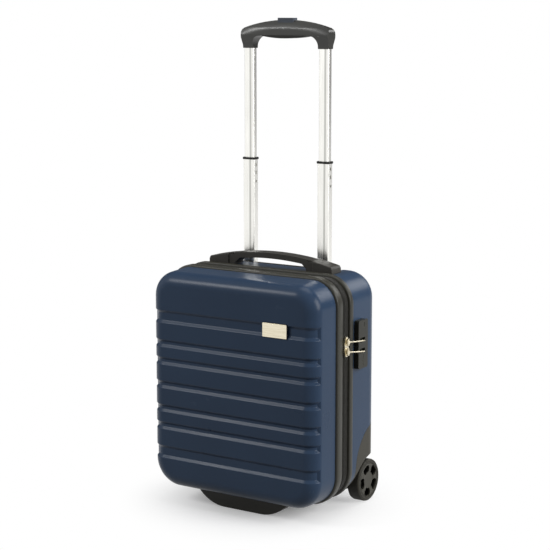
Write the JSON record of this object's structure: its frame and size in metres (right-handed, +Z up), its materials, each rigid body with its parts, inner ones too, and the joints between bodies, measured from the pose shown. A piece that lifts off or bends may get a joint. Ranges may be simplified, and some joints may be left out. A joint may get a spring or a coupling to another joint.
{
  "type": "hard shell suitcase on wheels",
  "caption": "Small hard shell suitcase with ribbed lid, zip with key lock, carry handle, pull-out trolley handle and fixed rear wheels.",
  "frame": {"origin": "on the floor, midway across the case and midway between its front face and the back of its wheels", "axes": "+Z up along the trolley handle, -Y out of the ribbed lid, +X towards the lock's side"},
  "size_m": [0.3607, 0.2471, 0.8585],
  "materials": {
    "shell_blue": "fine matt grain on navy polycarbonate",
    "trim_grey": "soft satin, charcoal",
    "black_plastic": "fine moulded grain",
    "zip_cloth": "woven tape",
    "lining_cloth": "woven lining",
    "webbing": "woven webbing",
    "tube_metal": "brushed along its length",
    "steel": "zinc plated",
    "champagne": "satin champagne",
    "grip_plastic": "satin",
    "button_grey": "satin blue-grey",
    "wheel_grey": "satin",
    "tyre_rubber": "matt polyurethane"
  },
  "bodies": {
    "base": {"rear_shell": "shell_blue", "rear_trim": "trim_grey", "rear_zip_tape": "zip_cloth", "rear_lining": "lining_cloth", "tube_panel": "lining_cloth", "hinge_tape": "zip_cloth", "upper_straps": "webbing", "lower_straps": "webbing", "buckle_socket": "black_plastic", "buckle_plug": "black_plastic", "trolley_bezel": "black_plastic", "fixed_tube_left": "tube_metal", "fixed_tube_right": "tube_metal", "trolley_base": "black_plastic", "handle_block_left": "trim_grey", "handle_block_right": "trim_grey", "handle_screws": "steel", "lock_body": "trim_grey", "dial_pin": "steel", "wheel_housing_left": "trim_grey", "wheel_housing_right": "trim_grey", "housing_screws": "steel", "axle_left": "steel", "axle_right": "steel"},
    "lid": {"front_shell": "shell_blue", "front_trim": "trim_grey", "front_zip_tape": "zip_cloth", "front_lining": "lining_cloth", "mesh_pocket": "lining_cloth", "badge_base": "black_plastic", "badge_plate": "champagne", "front_foot": "black_plastic", "foot_screws": "steel"},
    "trolley_lower": {"lower_tube_left": "tube_metal", "lower_tube_right": "tube_metal", "collar_left": "black_plastic", "collar_right": "black_plastic", "lower_glides": "black_plastic"},
    "trolley_upper": {"upper_tube_left": "tube_metal", "upper_tube_right": "tube_metal", "upper_glides": "black_plastic", "grip": "grip_plastic", "grip_insert": "grip_plastic", "button_spring": "steel"},
    "button": {"release_button": "button_grey", "release_rods": "steel"},
    "carry_handle": {"carry_grip": "trim_grey"},
    "key": {"key_cylinder": "steel"},
    "dial_1": {"lock_dial_1": "steel"},
    "dial_2": {"lock_dial_2": "steel"},
    "dial_3": {"lock_dial_3": "steel"},
    "slider_upper": {"zip_slider_upper": "champagne"},
    "slider_lower": {"zip_slider_lower": "champagne"},
    "pull_upper": {"zip_pull_upper": "champagne"},
    "pull_lower": {"zip_pull_lower": "champagne"},
    "wheel_left": {"wheel_left": "wheel_grey", "tyre_left": "tyre_rubber"},
    "wheel_right": {"wheel_right": "wheel_grey", "tyre_right": "tyre_rubber"}
  },
  "joints": [
    {"name": "lid_hinge", "type": "hinge", "parent": "base", "child": "lid", "pos_m": [-0.1763, -0.02825, 0.22], "axis": [0, 0, -1], "range_deg": [0, 180]},
    {"name": "trolley_lower_slide", "type": "slide", "parent": "base", "child": "trolley_lower", "axis": [0, 0, 1], "range_m": [-0.1852, 0]},
    {"name": "trolley_upper_slide", "type": "slide", "parent": "trolley_lower", "child": "trolley_upper", "axis": [0, 0, 1], "range_m": [-0.1952, 0]},
    {"name": "button_press", "type": "slide", "parent": "trolley_upper", "child": "button", "axis": [0, 0, -1], "range_m": [0, 0.003], "stiffness_N_per_m": 500, "springref_m": -0.01, "deforming": ["button_spring"]},
    {"name": "handle_lift", "type": "slide", "parent": "base", "child": "carry_handle", "axis": [0, 0, 1], "range_m": [0, 0.004]},
    {"name": "key_turn", "type": "hinge", "parent": "base", "child": "key", "pos_m": [0.182, 0.0215, 0.3355], "axis": [1, 0, 0], "range_deg": [0, 90]},
    {"name": "dial_1_turn", "type": "hinge", "parent": "base", "child": "dial_1", "pos_m": [0.1758, 0.0185, 0.281], "axis": [0, 0, 1], "continuous": true},
    {"name": "dial_2_turn", "type": "hinge", "parent": "base", "child": "dial_2", "pos_m": [0.1758, 0.0185, 0.274], "axis": [0, 0, 1], "continuous": true},
    {"name": "dial_3_turn", "type": "hinge", "parent": "base", "child": "dial_3", "pos_m": [0.1758, 0.0185, 0.267], "axis": [0, 0, 1], "continuous": true},
    {"name": "slider_upper_run", "type": "slide", "parent": "base", "child": "slider_upper", "axis": [0, 0, 1], "range_m": [0, 0.05]},
    {"name": "slider_lower_run", "type": "slide", "parent": "base", "child": "slider_lower", "axis": [0, 0, 1], "range_m": [-0.19, 0]},
    {"name": "pull_upper_swing", "type": "hinge", "parent": "slider_upper", "child": "pull_upper", "pos_m": [0.1793, -0.02825, 0.3127], "axis": [0, 0, -1], "range_deg": [0, 160]},
    {"name": "pull_lower_swing", "type": "hinge", "parent": "slider_lower", "child": "pull_lower", "pos_m": [0.1793, -0.02825, 0.2953], "axis": [0, 0, -1], "range_deg": [0, 160]},
    {"name": "wheel_left_spin", "type": "hinge", "parent": "base", "child": "wheel_left", "pos_m": [-0.148, 0.0845, 0.038], "axis": [1, 0, 0], "continuous": true},
    {"name": "wheel_right_spin", "type": "hinge", "parent": "base", "child": "wheel_right", "pos_m": [0.148, 0.0845, 0.038], "axis": [1, 0, 0], "continuous": true}
  ]
}
